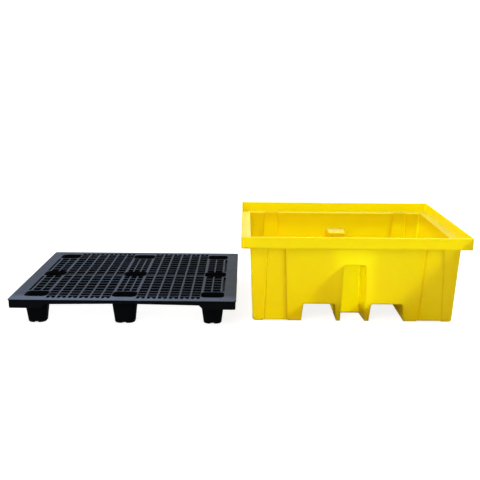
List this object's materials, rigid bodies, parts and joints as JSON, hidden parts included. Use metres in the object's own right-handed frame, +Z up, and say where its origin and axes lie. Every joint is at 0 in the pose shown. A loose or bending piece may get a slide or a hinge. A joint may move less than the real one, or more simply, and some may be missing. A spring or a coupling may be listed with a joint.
{
  "type": "spill containment pallet",
  "caption": "Thin-walled yellow sump tub with fork pockets and a stepped rim, and the black nestable grid deck that sits in the rim, lifted off beside it.",
  "frame": {"origin": "on the floor, under the middle of the sump tub", "axes": "+X to the right along the tub's long side, away from the deck; +Y to the back, along the fork pockets; +Z up"},
  "size_m": [2.437, 1.083, 0.48],
  "materials": {
    "tub_plastic": "satin, slightly translucent moulded polyethylene",
    "deck_plastic": "satin moulded polyethylene, black"
  },
  "bodies": {
    "tub": {"sump_tub": "tub_plastic"},
    "deck": {"deck_grid": "deck_plastic", "foot_front_left": "deck_plastic", "foot_front_middle": "deck_plastic", "foot_front_right": "deck_plastic", "foot_centre_left": "deck_plastic", "foot_centre_middle": "deck_plastic", "foot_centre_right": "deck_plastic", "foot_back_left": "deck_plastic", "foot_back_middle": "deck_plastic", "foot_back_right": "deck_plastic"}
  },
  "joints": [
    {"name": "deck_lift", "type": "slide", "parent": "tub", "child": "deck", "axis": [0, 0, 1], "range_m": [0, 0.5]}
  ]
}
